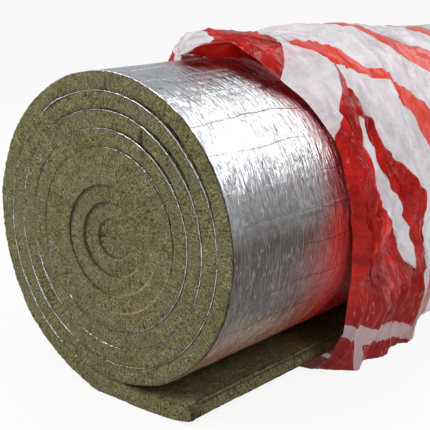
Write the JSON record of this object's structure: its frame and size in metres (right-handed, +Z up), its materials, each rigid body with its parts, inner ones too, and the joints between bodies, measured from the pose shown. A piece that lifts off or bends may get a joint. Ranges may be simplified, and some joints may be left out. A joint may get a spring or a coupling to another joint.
{
  "type": "insulation roll",
  "caption": "Roll of foil-faced stone-wool mat lying on its side, with a flat loose end, half pulled out of a translucent film sleeve.",
  "frame": {"origin": "centre of the underside of the whole part's box, on the floor", "axes": "+Z up; +Y along the roll's axis, from the bare end to the closed end of the film; +X to the side where the loose end lies"},
  "size_m": [0.577, 1.028, 0.5701],
  "materials": {
    "wool": "fibrous stone wool",
    "foil": "wrinkled bright foil",
    "film": "thin translucent film with coloured bands"
  },
  "bodies": {
    "root": {"wool_mat": "wool", "foil_facing": "foil", "film_sleeve": "film"}
  },
  "joints": []
}
